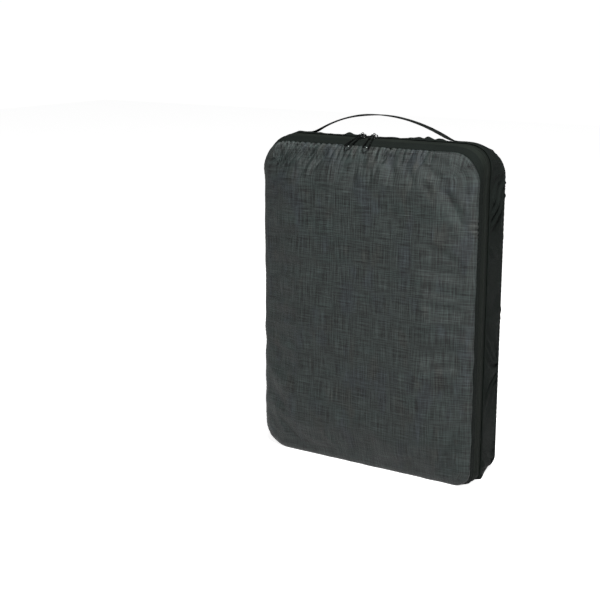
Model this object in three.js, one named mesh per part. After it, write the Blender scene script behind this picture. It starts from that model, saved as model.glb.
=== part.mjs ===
// A large packing cube: a soft zipped case that stands on its narrow base. The front lid folds down about
// the front seam of the base, two sliders run on the zip along the top, and a webbing handle arches over
// them. Millimetres, +Z up, front towards -Y, origin on the floor under the middle of the case.
import * as THREE from "three";

// ---------------------------------------------------------------- driving dimensions
const WIDTH = 258; // seam outline, side to side
const HEIGHT = 350; // seam outline, base to top
const DEPTH = 62; // front seam to back seam
const CORNER = 30; // upper corner radius of the seam outline
const BASE_CORNER = 17; // lower corner radius, smaller where the filled case sits on its base
const CROWN = 9; // how far each filled panel stands out from its seam
const CROWN_ROLL = 45; // width of the rolled edge that rises to the crown
const RIDGE = 8; // how far the top gusset swells outwards at the zip
const ZIP_FROM_FRONT = 17; // front seam to the middle of the zip

const PANEL_CLOTH = 2; // shell fabric with its lining and seam allowance
const STRIP_CLOTH = 1.5; // gusset strips
const TAPE = 0.8; // zip tape
const CLEAR = 0.3; // gap between sewn layers
const ZIP_SLOT = 1.6; // gap between the two zip edges, where the slider's post runs
const COIL_WIDTH = 2.2;
const COIL_HEIGHT = 2;
const TAPE_SHOWN = 8; // zip tape seen on each side of the zip
const TAPE_TUCKED = 3.5; // zip tape hidden under each strip
const BINDING = 2; // bound seam allowance, in both directions

const HANDLE_SPAN = 168; // between the points where the webbing leaves the gusset
const HANDLE_RISE = 22;
const HANDLE_WIDTH = 8;
const HANDLE_WEBBING = 1.2;
const HANDLE_Y = 3; // middle of the webbing, just behind the ridge
const HANDLE_SWING_X = 75; // the sewn root ends here and the free webbing begins
const HANDLE_TAB = 14; // sewn flat beyond the arch

const SLIDERS_MEET_X = -8;
const SLIDER = { length: 11, width: 8.5, underWidth: 7, plate: 1.2, post: 1, underGap: 0.7, fromMeeting: 7 };
const BRIDGE = { length: 9, foot: 1.2, width: 2, hole: 2, bar: 0.9, lift: 0.05, innerBevel: 0.6 };
const LINK = { slotBack: 1.5, slotFront: 2.85, slotHalf: 1.1, wire: 0.8, thick: 0.8 };
const PULL = { toFar: 21.5, nearRadius: 1, farRadius: 2.8, wire: 1.2, pivot: 1.9, dip: 26 };
const LEFT_PULL_SKEW = 13; // the left pull lies turned towards the left corner
const RIGHT_PULL_SKEW = -8; // and the right one a little towards the right corner

// ---------------------------------------------------------------- derived places
const FRONT = -DEPTH / 2;
const BACK = DEPTH / 2;
const ZIP_Y = FRONT + ZIP_FROM_FRONT;
const CORE_Z = [BASE_CORNER, HEIGHT - CORNER]; // the straight of each side
const BAND_END = 97; // zip and strips stop here on the base
const ARC_STEPS = 4; // three.js doubles this for an arc
const FRONT_EDGE = FRONT + PANEL_CLOTH + CLEAR; // first sewn layer behind the front panel
const BACK_EDGE = BACK - PANEL_CLOTH - CLEAR;
const LAYER_TWO = STRIP_CLOTH + CLEAR; // inset of anything sewn under a strip
const COIL_IN = LAYER_TWO + TAPE + CLEAR;
const FRONT_TAPE_EDGE = ZIP_Y - ZIP_SLOT / 2;
const REAR_TAPE_EDGE = ZIP_Y + ZIP_SLOT / 2;
const RAD = Math.PI / 180;

const shellCloth = new THREE.MeshStandardMaterial({ color: 0x3f4646, roughness: 0.85 });
const trimCloth = new THREE.MeshStandardMaterial({ color: 0x282e2a, roughness: 0.9 });
const tapeCloth = new THREE.MeshStandardMaterial({ color: 0x252a27, roughness: 0.85 });
const nylonCoil = new THREE.MeshStandardMaterial({ color: 0x151817, roughness: 0.5 });
const blackMetal = new THREE.MeshStandardMaterial({ color: 0x1c1f1d, roughness: 0.35, metalness: 0.8 });

const cube = new THREE.Group();

function add(name, geometry, material) {
  const mesh = new THREE.Mesh(geometry, material.clone());
  mesh.name = name;
  cube.add(mesh);
}

// ---------------------------------------------------------------- shared shaping
const cornerAt = (z) => (z < HEIGHT / 2 ? BASE_CORNER : CORNER);
const coreXAt = (z) => WIDTH / 2 - cornerAt(z); // the straight of the base or the top ends here

// How much of the swell a point at depth y gets: none at the seams, all of it at the zip.
function swell(y) {
  const t = y < ZIP_Y ? (ZIP_Y - y) / (ZIP_Y - FRONT) : (y - ZIP_Y) / (BACK - ZIP_Y);
  return Math.cos((Math.PI / 2) * Math.min(t, 1));
}

// Moves every vertex outwards from the outline: most on the top, little on the sides, none on the base.
function fillOut(geometry) {
  const p = geometry.attributes.position;
  for (let i = 0; i < p.count; i++) {
    const core = coreXAt(p.getZ(i));
    const dx = p.getX(i) - THREE.MathUtils.clamp(p.getX(i), -core, core);
    const dz = p.getZ(i) - THREE.MathUtils.clamp(p.getZ(i), ...CORE_Z);
    const reach = Math.hypot(dx, dz);
    if (reach < 1e-6) continue;
    const share = RIDGE * ((1 + dz / reach) / 2) ** 3 * swell(p.getY(i));
    p.setX(i, p.getX(i) + (share * dx) / reach);
    p.setZ(i, p.getZ(i) + (share * dz) / reach);
  }
  return geometry;
}

// A shape drawn in X and Z, extruded along Y between two depths.
function alongDepth(shape, y0, y1, steps = 1, curveSegments = ARC_STEPS) {
  const options = { depth: y1 - y0, steps, bevelEnabled: false, curveSegments };
  return new THREE.ExtrudeGeometry(shape, options).rotateX(Math.PI / 2).translate(0, y1, 0);
}

function cornerArcs(path, inset, clockwise) {
  const arcs = [
    [-1, CORE_Z[0], -90, -180],
    [-1, CORE_Z[1], 180, 90],
    [1, CORE_Z[1], 90, 0],
    [1, CORE_Z[0], 0, -90],
  ];
  for (const [side, z, from, to] of clockwise ? arcs : arcs.toReversed()) {
    const [a, b] = clockwise ? [from, to] : [to, from];
    path.absarc(side * coreXAt(z), z, cornerAt(z) - inset, a * RAD, b * RAD, clockwise);
  }
}

// A band that follows the outline from one end of the base, round the sides and top, to the other end.
function band(outerInset, innerInset, y0, y1, steps) {
  const shape = new THREE.Shape();
  shape.moveTo(-BAND_END, outerInset);
  cornerArcs(shape, outerInset, true);
  shape.lineTo(BAND_END, outerInset);
  shape.lineTo(BAND_END, innerInset);
  cornerArcs(shape, innerInset, false);
  shape.lineTo(-BAND_END, innerInset);
  return fillOut(alongDepth(shape, y0, y1, steps));
}

// A closed ring of binding that follows the whole outline.
function ring(outerInset, innerInset, y0, y1) {
  const shape = new THREE.Shape();
  const hole = new THREE.Path();
  cornerArcs(shape, outerInset, true);
  cornerArcs(hole, innerInset, false);
  shape.holes.push(hole);
  return fillOut(alongDepth(shape, y0, y1));
}

// ---------------------------------------------------------------- filled panels
// Height of the crown at a distance inside the seam outline.
function crownAt(inside) {
  const t = 1 - Math.min(inside / CROWN_ROLL, 1);
  return CROWN * Math.sqrt(1 - t * t);
}

// A closed panel: a grid box bent to the rounded outline, with both faces raised to the crown.
function filledPanel(seam, facing) {
  const geometry = new THREE.BoxGeometry(2, 2, 2, 16, 1, 20);
  const p = geometry.attributes.position;
  const coreX = WIDTH / 2 - CORNER;
  const coreZ = HEIGHT / 2 - CORNER;
  // The middle half of the grid covers the core, the outer quarters cover the corners.
  const spread = (t, core) => {
    const s = 2 * Math.abs(t);
    return Math.sign(t) * (s < 1 ? s * core : core + (s - 1) * CORNER);
  };
  for (let i = 0; i < p.count; i++) {
    const x = spread(p.getX(i), coreX);
    const z = spread(p.getZ(i), coreZ);
    const corner = cornerAt(z + HEIGHT / 2);
    const dx = Math.max(Math.abs(x) - WIDTH / 2 + corner, 0);
    const dz = Math.max(Math.abs(z) - HEIGHT / 2 + corner, 0);
    const cut = dx && dz ? 1 - Math.max(dx, dz) / Math.hypot(dx, dz) : 0;
    const inside = Math.min(WIDTH / 2 - Math.abs(x), HEIGHT / 2 - Math.abs(z));
    const outer = seam + facing * crownAt(inside);
    const isOuter = Math.sign(p.getY(i)) === facing;
    const y = isOuter ? outer : outer - facing * PANEL_CLOTH;
    p.setXYZ(i, x - Math.sign(x) * dx * cut, y, z - Math.sign(z) * dz * cut + HEIGHT / 2);
  }
  return geometry;
}

add("front_panel", filledPanel(FRONT, -1), shellCloth);
add("back_panel", filledPanel(BACK, 1), shellCloth);

// ---------------------------------------------------------------- gussets, zip and bindings
const frontStripEnd = FRONT_TAPE_EDGE - TAPE_SHOWN;
const rearStripStart = REAR_TAPE_EDGE + TAPE_SHOWN;
add("front_gusset", band(0, STRIP_CLOTH, FRONT_EDGE, frontStripEnd, 2), trimCloth);
add("rear_gusset", band(0, STRIP_CLOTH, rearStripStart, BACK_EDGE, 5), shellCloth);

const tapeWidth = TAPE_SHOWN + TAPE_TUCKED;
const tapeBand = (y0, y1) => band(LAYER_TWO, LAYER_TWO + TAPE, y0, y1, 4);
add("front_zip_tape", tapeBand(FRONT_TAPE_EDGE - tapeWidth, FRONT_TAPE_EDGE), tapeCloth);
add("rear_zip_tape", tapeBand(REAR_TAPE_EDGE, REAR_TAPE_EDGE + tapeWidth), tapeCloth);

const coilBand = (y0, y1) => band(COIL_IN, COIL_IN + COIL_HEIGHT, y0, y1, 1);
add("front_zip_coil", coilBand(FRONT_TAPE_EDGE - COIL_WIDTH, FRONT_TAPE_EDGE), nylonCoil);
add("rear_zip_coil", coilBand(REAR_TAPE_EDGE, REAR_TAPE_EDGE + COIL_WIDTH), nylonCoil);

const bindingRing = (y0) => ring(LAYER_TWO, LAYER_TWO + BINDING, y0, y0 + BINDING);
add("front_seam_binding", bindingRing(FRONT_EDGE), trimCloth);
add("back_seam_binding", bindingRing(BACK_EDGE - BINDING), trimCloth);

function block([x0, x1], [y0, y1], [z0, z1]) {
  const geometry = new THREE.BoxGeometry(x1 - x0, y1 - y0, z1 - z0);
  return geometry.translate((x0 + x1) / 2, (y0 + y1) / 2, (z0 + z1) / 2);
}

// The base strip runs between the two ends of the band. The lid folds along its front edge.
const baseEnd = BAND_END - CLEAR;
add("base_gusset", block([-baseEnd, baseEnd], [FRONT_EDGE, BACK_EDGE], [0, STRIP_CLOTH]), shellCloth);

// Small pieces sewn on the inner face of the base strip, close to each end of the zip.
for (const side of ["left", "right"]) {
  const mirrored = (near, far) => (side === "left" ? [-far, -near] : [near, far]);
  const aroundZip = (half) => [ZIP_Y - half, ZIP_Y + half];
  const tall = (height) => [LAYER_TWO, LAYER_TWO + height];
  const coilReach = ZIP_SLOT / 2 + COIL_WIDTH;
  add(`zip_stop_${side}`, block(mirrored(92.5, 96.5), aroundZip(coilReach), tall(3)), blackMetal);
  add(`zip_end_tab_${side}`, block(mirrored(80, 92), aroundZip(7), tall(1.2)), trimCloth);
  add(`base_seam_binding_${side}`, block(mirrored(94, 96.5), [-5, 25], tall(BINDING)), trimCloth);
}

// ---------------------------------------------------------------- handle
const archRadius = ((HANDLE_SPAN / 2) ** 2 + HANDLE_RISE ** 2) / (2 * HANDLE_RISE);
const archTopRadius = archRadius + HANDLE_WEBBING;
const handleSeat = HEIGHT + CLEAR;
const archCentre = handleSeat + HANDLE_RISE - archRadius;
const handleDepth = [HANDLE_Y - HANDLE_WIDTH / 2, HANDLE_Y + HANDLE_WIDTH / 2];

// Polar angle on an arch of the handle where it passes x, or where it comes down to z.
const archAtX = (x, radius) => Math.acos(x / radius);
const archAtZ = (z, radius) => Math.asin((z - archCentre) / radius);

function handleWebbing() {
  const top = archAtX(HANDLE_SWING_X, archTopRadius);
  const under = archAtX(HANDLE_SWING_X, archRadius);
  const shape = new THREE.Shape();
  shape.absarc(0, archCentre, archTopRadius, Math.PI - top, top, true);
  shape.absarc(0, archCentre, archRadius, under, Math.PI - under, false);
  return fillOut(alongDepth(shape, ...handleDepth, 2, 10));
}

// One sewn end: the foot of the arch and the flat tab beyond it.
function handleEnd(side) {
  const start = HANDLE_SWING_X + CLEAR;
  const end = HANDLE_SPAN / 2 + HANDLE_TAB;
  const tabTop = handleSeat + HANDLE_WEBBING;
  const top = [archAtX(start, archTopRadius), archAtZ(tabTop, archTopRadius)];
  const under = [archAtZ(handleSeat, archRadius), archAtX(start, archRadius)];
  const shape = new THREE.Shape();
  shape.absarc(0, archCentre, archTopRadius, ...top, true);
  shape.lineTo(end, tabTop);
  shape.lineTo(end, handleSeat);
  shape.absarc(0, archCentre, archRadius, ...under, false);
  const geometry = alongDepth(shape, ...handleDepth, 2, 2);
  if (side === "left") geometry.translate(0, -HANDLE_Y, 0).rotateZ(Math.PI).translate(0, HANDLE_Y, 0);
  return fillOut(geometry);
}

add("handle_webbing", handleWebbing(), trimCloth);
add("handle_end_left", handleEnd("left"), trimCloth);
add("handle_end_right", handleEnd("right"), trimCloth);

// ---------------------------------------------------------------- sliders and pulls
// Heights inside a slider are measured from the upper face of its top plate.
const plateTop = HEIGHT + RIDGE - LAYER_TWO + CLEAR + SLIDER.plate;
const underZip = -SLIDER.plate - 2 * CLEAR - TAPE - COIL_HEIGHT - SLIDER.underGap;
const barMiddle = BRIDGE.hole + BRIDGE.bar / 2;

// Top plate, post and bottom plate in one profile, extruded along the zip.
function sliderBody() {
  const half = SLIDER.width / 2;
  const underHalf = SLIDER.underWidth / 2;
  const postHalf = SLIDER.post / 2;
  const right = [
    [half, 0],
    [half, -SLIDER.plate],
    [postHalf, -SLIDER.plate],
    [postHalf, underZip],
    [underHalf, underZip],
    [underHalf, underZip - SLIDER.plate],
  ];
  const left = right.map(([y, z]) => [-y, z]).toReversed();
  const shape = new THREE.Shape([...right, ...left].map(([y, z]) => new THREE.Vector2(y, z)));
  const geometry = new THREE.ExtrudeGeometry(shape, { depth: SLIDER.length, bevelEnabled: false });
  return geometry.translate(0, 0, -SLIDER.length / 2).rotateX(Math.PI / 2).rotateZ(Math.PI / 2);
}

// The arched bar on top of the slider that the link runs through.
function sliderBridge() {
  const half = BRIDGE.length / 2;
  const inner = half - BRIDGE.foot;
  const top = BRIDGE.hole + BRIDGE.bar;
  const right = [
    [inner, BRIDGE.lift],
    [half, BRIDGE.lift],
    [half, top - BRIDGE.foot],
    [half - BRIDGE.foot, top],
  ];
  const left = right.map(([x, z]) => [-x, z]).toReversed();
  const under = [
    [-inner, BRIDGE.hole - BRIDGE.innerBevel],
    [-inner + BRIDGE.innerBevel, BRIDGE.hole],
    [inner - BRIDGE.innerBevel, BRIDGE.hole],
    [inner, BRIDGE.hole - BRIDGE.innerBevel],
  ];
  const shape = new THREE.Shape([...right, ...left, ...under].map(([x, z]) => new THREE.Vector2(x, z)));
  return alongDepth(shape, -BRIDGE.width / 2, BRIDGE.width / 2);
}

// A closed loop round two circles, the far one ahead of the near one along +X of the shape.
function loopShape(near, far, nearRadius, farRadius, Path = THREE.Shape) {
  const lean = Math.acos((nearRadius - farRadius) / (far - near));
  const path = new Path();
  path.absarc(near, 0, nearRadius, lean, 2 * Math.PI - lean, false);
  path.absarc(far, 0, farRadius, -lean, lean, false);
  return path;
}

function wireLoop({ near, far, nearRadius, farRadius, wire, thick, arc }) {
  const shape = loopShape(near, far, nearRadius + wire, farRadius + wire);
  shape.holes.push(loopShape(near, far, nearRadius, farRadius, THREE.Path));
  const options = { depth: thick, bevelEnabled: false, curveSegments: arc };
  const geometry = new THREE.ExtrudeGeometry(shape, options);
  return geometry.translate(0, 0, -thick / 2).rotateZ(-Math.PI / 2); // flat, and pointing towards -Y
}

// The link stands across the zip with the bar and the near end of the pull both inside its slot.
function pullLink() {
  const reach = (LINK.slotBack + LINK.slotFront) / 2 - LINK.slotHalf;
  const middle = (LINK.slotFront - LINK.slotBack) / 2;
  const { slotHalf, wire, thick } = LINK;
  const ends = { near: middle - reach, far: middle + reach, nearRadius: slotHalf, farRadius: slotHalf };
  return wireLoop({ ...ends, wire, thick, arc: 4 }).rotateY(Math.PI / 2).translate(0, 0, barMiddle);
}

// The pull is turned about the middle of its near end, then dipped about the point where the link holds it.
function pullLoop(skew) {
  const { nearRadius, farRadius, toFar, wire } = PULL;
  const near = nearRadius + wire / 2;
  const geometry = wireLoop({ near: 0, far: toFar, nearRadius, farRadius, wire, thick: wire, arc: 6 });
  geometry.rotateZ(-skew * RAD).translate(0, -near, 0).rotateX(PULL.dip * RAD);
  return geometry.translate(0, -PULL.pivot, barMiddle);
}

for (const [side, s, skew] of [["left", -1, LEFT_PULL_SKEW], ["right", 1, RIGHT_PULL_SKEW]]) {
  const place = (geometry) => geometry.translate(SLIDERS_MEET_X + s * SLIDER.fromMeeting, ZIP_Y, plateTop);
  add(`slider_${side}_body`, place(sliderBody()), blackMetal);
  add(`slider_${side}_bridge`, place(sliderBridge()), blackMetal);
  add(`pull_link_${side}`, place(pullLink()), blackMetal);
  add(`pull_loop_${side}`, place(pullLoop(skew)), blackMetal);
}

export default cube;
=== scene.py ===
"""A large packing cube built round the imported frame, in metres and the frame's own axes: slub-woven front and
back panels, plain gusset strips, a zip with two sliders and loop pulls, and a webbing handle."""
import math

import bmesh
import bpy
import numpy as np
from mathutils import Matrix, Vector


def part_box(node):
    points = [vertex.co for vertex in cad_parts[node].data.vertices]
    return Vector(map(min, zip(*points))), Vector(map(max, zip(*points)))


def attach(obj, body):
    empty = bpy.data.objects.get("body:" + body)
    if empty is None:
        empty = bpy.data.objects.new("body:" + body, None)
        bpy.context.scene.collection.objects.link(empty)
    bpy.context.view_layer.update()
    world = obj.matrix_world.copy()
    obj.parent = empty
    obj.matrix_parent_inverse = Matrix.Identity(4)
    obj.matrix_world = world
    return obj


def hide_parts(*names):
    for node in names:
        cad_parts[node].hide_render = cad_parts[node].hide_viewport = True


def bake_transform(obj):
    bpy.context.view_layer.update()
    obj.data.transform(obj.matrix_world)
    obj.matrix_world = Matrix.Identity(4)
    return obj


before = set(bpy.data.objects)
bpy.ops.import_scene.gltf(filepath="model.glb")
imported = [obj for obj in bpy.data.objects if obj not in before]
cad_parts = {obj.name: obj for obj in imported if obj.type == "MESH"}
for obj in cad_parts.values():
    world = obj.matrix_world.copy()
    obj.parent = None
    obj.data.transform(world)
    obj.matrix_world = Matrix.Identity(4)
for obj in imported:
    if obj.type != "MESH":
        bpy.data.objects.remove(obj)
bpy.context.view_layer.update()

MM = 0.001


# ---------------------------------------------------------------- camera
def make_camera():
    """The front of the case, seen from its right and a little above."""
    data = bpy.data.cameras.new("camera")
    data.lens = 74.4
    data.sensor_width = 36
    camera = bpy.data.objects.new("camera", data)
    bpy.context.collection.objects.link(camera)
    camera.location = (0.649, -1.1463, 0.4901)
    camera.rotation_euler = (math.radians(90 - 13.28), 0, math.radians(33.28))
    bpy.context.scene.camera = camera


make_camera()

# ---------------------------------------------------------------- sizes, from the frame
panel_low, panel_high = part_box("front_panel")
tape_low, tape_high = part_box("front_zip_tape")
rear_tape_low, rear_tape_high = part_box("rear_zip_tape")
gusset_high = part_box("rear_gusset")[1]
HALF = panel_high.x  # half the width of the seam outline
TOP = panel_high.z
CORNER = 30 * MM  # upper corner radius
LEFT_FOOT, RIGHT_FOOT = 31 * MM, 18 * MM  # lower corner radii: the filled cloth slumps to the right
FULL_RIGHT_CORNER = 3 * MM  # how far the stuffed gusset bulges at each full corner
FULL_LEFT_FOOT, FULL_RIGHT_FOOT = 0.8 * MM, 4.5 * MM
CORE_X = HALF - CORNER
BAND_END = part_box("base_gusset")[1].x + 0.3 * MM
SEAM_Y = 31 * MM  # the seams lie this far in front of and behind the middle
SEAM_TUCK = 1.4 * MM  # cloth edges turn in this far at a seam
CROWN = -panel_low.y - SEAM_Y
CROWN_ROLL = 45 * MM
ZIP_Y = (tape_high.y + rear_tape_low.y) / 2
RIDGE = gusset_high.z - TOP + 0.4 * MM
LAYER_TWO = 1.8 * MM  # the zip tape lies this far under the seam outline
ZIP_GAP = 0.55 * MM  # from the middle of the zip to each tape edge
STRIP_END = ZIP_Y - 8.8 * MM  # rear edge of the front strip
REAR_START = ZIP_Y + 8.8 * MM  # front edge of the rear gusset


# ---------------------------------------------------------------- smooth random fields
def ripple(a, b, wavelength, seed, stretch=1.0, waves=14):
    """A smooth random field in about -1 to 1 over places a, b. stretch above 1 lengthens it along b."""
    rng = np.random.default_rng(seed)
    field = np.zeros(np.broadcast(a, b).shape)
    for _ in range(waves):
        angle = rng.uniform(0, 2 * math.pi)
        k = 2 * math.pi / (wavelength * rng.uniform(0.7, 1.5))
        phase = rng.uniform(0, 2 * math.pi)
        field = field + np.sin(k * (math.cos(angle) * a + math.sin(angle) * b / stretch) + phase)
    return field / math.sqrt(waves)


def smoothstep(low, high, x):
    t = np.clip((x - low) / (high - low), 0, 1)
    return t * t * (3 - 2 * t)


# ---------------------------------------------------------------- meshes from grids
def surface_normals(points):
    """Unit normals of a grid of points, from its two directions."""
    along_u = np.gradient(points, axis=0)
    along_v = np.gradient(points, axis=1)
    normal = np.cross(along_u, along_v)
    return normal / np.maximum(np.linalg.norm(normal, axis=2, keepdims=True), 1e-12)


def add_mesh(name, points, faces, materials, face_materials=None, weave=None):
    mesh = bpy.data.meshes.new(name)
    mesh.from_pydata(np.asarray(points).reshape(-1, 3).tolist(), [], [list(f) for f in faces])
    for material in materials:
        mesh.materials.append(material)
    if face_materials is not None:
        mesh.polygons.foreach_set("material_index", np.asarray(face_materials, np.int32))
    if weave is not None:
        attribute = mesh.attributes.new("weave", "FLOAT_VECTOR", "POINT")
        attribute.data.foreach_set("vector", np.asarray(weave, np.float32).ravel())
    mesh.polygons.foreach_set("use_smooth", np.full(len(mesh.polygons), True))
    mesh.update()
    obj = bpy.data.objects.new(name, mesh)
    bpy.context.collection.objects.link(obj)
    return obj


def grid_faces(nu, nv, offset=0, closed_u=False, closed_v=False):
    u = np.arange(nu if closed_u else nu - 1)
    v = np.arange(nv if closed_v else nv - 1)
    a, b = np.meshgrid(u, v, indexing="ij")
    a2, b2 = (a + 1) % nu, (b + 1) % nv
    quads = np.stack([a * nv + b, a2 * nv + b, a2 * nv + b2, a * nv + b2], axis=2)
    return quads.reshape(-1, 4) + offset


def rim_loop(nu, nv):
    """Indices of a grid's outer points, in order round it."""
    index = np.arange(nu * nv).reshape(nu, nv)
    return np.concatenate([index[:-1, 0], index[-1, :-1], index[:0:-1, -1], index[0, :0:-1]])


def capped_faces(count, sides, offset=0):
    """Faces of a row of rings, closed at both ends."""
    first = [offset + i for i in range(sides)]
    last = [(count - 1) * sides + i for i in first]
    return grid_faces(count, sides, offset, closed_v=True).tolist() + [first, last[::-1]]


def unit(vectors):
    return vectors / np.linalg.norm(vectors, axis=-1, keepdims=True)


def circle(sides):
    return np.linspace(0, 2 * math.pi, sides, endpoint=False)


def rings(path, tangent, flat_axis, radii, sides):
    """Ovals round the points of a path. radii is (across, along flat_axis)."""
    side = unit(np.cross(tangent, np.broadcast_to(np.asarray(flat_axis, float), path.shape)))
    flat = np.cross(side, tangent)
    cos, sin = np.cos(circle(sides))[None, :, None], np.sin(circle(sides))[None, :, None]
    return path[:, None] + radii[0] * cos * side[:, None] + radii[1] * sin * flat[:, None]


def shell(name, outer, inner, materials, weave):
    """A closed sheet of cloth between two grids. Material 0 is outside and on the rim, material 1 inside."""
    nu, nv = outer.shape[:2]
    count = nu * nv
    front = grid_faces(nu, nv)
    back = grid_faces(nu, nv, count)[:, ::-1]
    loop = rim_loop(nu, nv)
    ahead = np.roll(loop, -1)
    rim = np.stack([ahead, loop, loop + count, ahead + count], axis=1)
    faces = np.concatenate([front, back, rim])
    kinds = np.concatenate([np.zeros(len(front)), np.ones(len(back)), np.zeros(len(rim))])
    both = np.concatenate([outer.reshape(-1, 3), inner.reshape(-1, 3)])
    return add_mesh(name, both, faces, materials, kinds, np.concatenate([weave, weave]))


def tube(name, path, radii, material, sides=10, closed=True, flat_axis=(0, 1, 0)):
    """A round or oval wire along a path. radii is (across, along flat_axis)."""
    path = np.asarray(path, float)
    if closed:
        tangent = unit(np.roll(path, -1, 0) - np.roll(path, 1, 0))
        faces = grid_faces(len(path), sides, closed_u=True, closed_v=True).tolist()
    else:
        tangent = unit(np.gradient(path, axis=0))
        faces = capped_faces(len(path), sides)
    ring = rings(path, tangent, flat_axis, radii, sides)
    run = np.concatenate([[0], np.cumsum(np.linalg.norm(np.diff(path, axis=0), axis=1))])
    around = np.broadcast_to(circle(sides) * radii[0], ring.shape[:2])
    weave = np.stack([around, np.broadcast_to(run[:, None], around.shape), 0 * around], axis=-1)
    return turned_out(add_mesh(name, ring, faces, [material], weave=weave))


def turned_out(obj):
    """Makes a closed mesh's faces point outwards."""
    bm = bmesh.new()
    bm.from_mesh(obj.data)
    bmesh.ops.recalc_face_normals(bm, faces=bm.faces)
    bm.to_mesh(obj.data)
    bm.free()
    return obj


def applied(obj):
    """Applies the object's modifiers to its mesh."""
    depsgraph = bpy.context.evaluated_depsgraph_get()
    mesh = bpy.data.meshes.new_from_object(obj.evaluated_get(depsgraph), depsgraph=depsgraph)
    obj.modifiers.clear()
    obj.data = mesh


# ---------------------------------------------------------------- materials
class Material:
    """A node material round one Principled shader, with short calls for the nodes these cloths need."""

    def __init__(self, name, **shader_values):
        self.material = bpy.data.materials.new(name)
        self.material.use_nodes = True
        self.nodes = self.material.node_tree.nodes
        self.links = self.material.node_tree.links
        self.shader = self.nodes["Principled BSDF"]
        for socket, value in shader_values.items():
            self.shader.inputs[socket.replace("_", " ")].default_value = value

    def put(self, socket, value):
        if isinstance(value, bpy.types.NodeSocket):
            self.links.new(value, socket)
        else:
            socket.default_value = value

    def weave(self):
        """Places on the cloth in metres: first across, then along."""
        node = self.nodes.new("ShaderNodeAttribute")
        node.attribute_name = "weave"
        return node.outputs["Vector"]

    def object_place(self):
        return self.nodes.new("ShaderNodeTexCoord").outputs["Object"]

    def math(self, operation, a, b=0.0):
        node = self.nodes.new("ShaderNodeMath")
        node.operation = operation
        self.put(node.inputs[0], a)
        self.put(node.inputs[1], b)
        return node.outputs[0]

    def noise(self, place, scale, detail=2.0, offset=(0, 0, 0)):
        """Noise whose grain is 1 / scale metres along each axis, in 0 to 1 around 0.5."""
        mapping = self.nodes.new("ShaderNodeMapping")
        mapping.inputs["Scale"].default_value = scale
        mapping.inputs["Location"].default_value = offset
        self.links.new(place, mapping.inputs["Vector"])
        node = self.nodes.new("ShaderNodeTexNoise")
        node.inputs["Scale"].default_value = 1.0
        node.inputs["Detail"].default_value = detail
        self.links.new(mapping.outputs["Vector"], node.inputs["Vector"])
        return node.outputs["Fac"]

    def ribs(self, place, across, pitch):
        """A sine in -1 to 1 along one axis of the place."""
        parts = self.nodes.new("ShaderNodeSeparateXYZ")
        self.links.new(place, parts.inputs[0])
        return self.math("SINE", self.times(parts.outputs[across], 2 * math.pi / pitch))

    def swing(self, value, amount):
        """Noise in 0 to 1 turned into -amount to amount."""
        return self.times(self.math("SUBTRACT", value, 0.5), 2 * amount)

    def times(self, value, amount):
        return self.math("MULTIPLY", value, amount)

    def total(self, *values):
        result = values[0]
        for value in values[1:]:
            result = self.math("ADD", result, value)
        return result

    def mix(self, factor, first, second, blend="MIX"):
        node = self.nodes.new("ShaderNodeMix")
        node.data_type = "RGBA"
        node.blend_type = blend
        self.put(node.inputs["Factor"], factor)
        self.put(node.inputs["A"], first)
        self.put(node.inputs["B"], second)
        return node.outputs["Result"]

    def ramp(self, value, low, high):
        """0 below low, 1 above high, smooth between."""
        node = self.nodes.new("ShaderNodeMapRange")
        node.interpolation_type = "SMOOTHSTEP"
        node.inputs["From Min"].default_value = low
        node.inputs["From Max"].default_value = high
        self.links.new(value, node.inputs["Value"])
        return node.outputs["Result"]

    def colour(self, value):
        self.put(self.shader.inputs["Base Color"], value)

    def roughness(self, value):
        self.put(self.shader.inputs["Roughness"], value)

    def scaled_colour(self, colour, factor):
        """A colour made lighter or darker by a factor around 1."""
        grey = self.nodes.new("ShaderNodeCombineColor")
        for socket in grey.inputs:
            self.links.new(factor, socket)
        return self.mix(1.0, colour, grey.outputs[0], "MULTIPLY")

    def bump(self, height, distance):
        node = self.nodes.new("ShaderNodeBump")
        node.inputs["Strength"].default_value = 1.0
        node.inputs["Distance"].default_value = distance
        self.links.new(height, node.inputs["Height"])
        self.links.new(node.outputs["Normal"], self.shader.inputs["Normal"])


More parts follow.
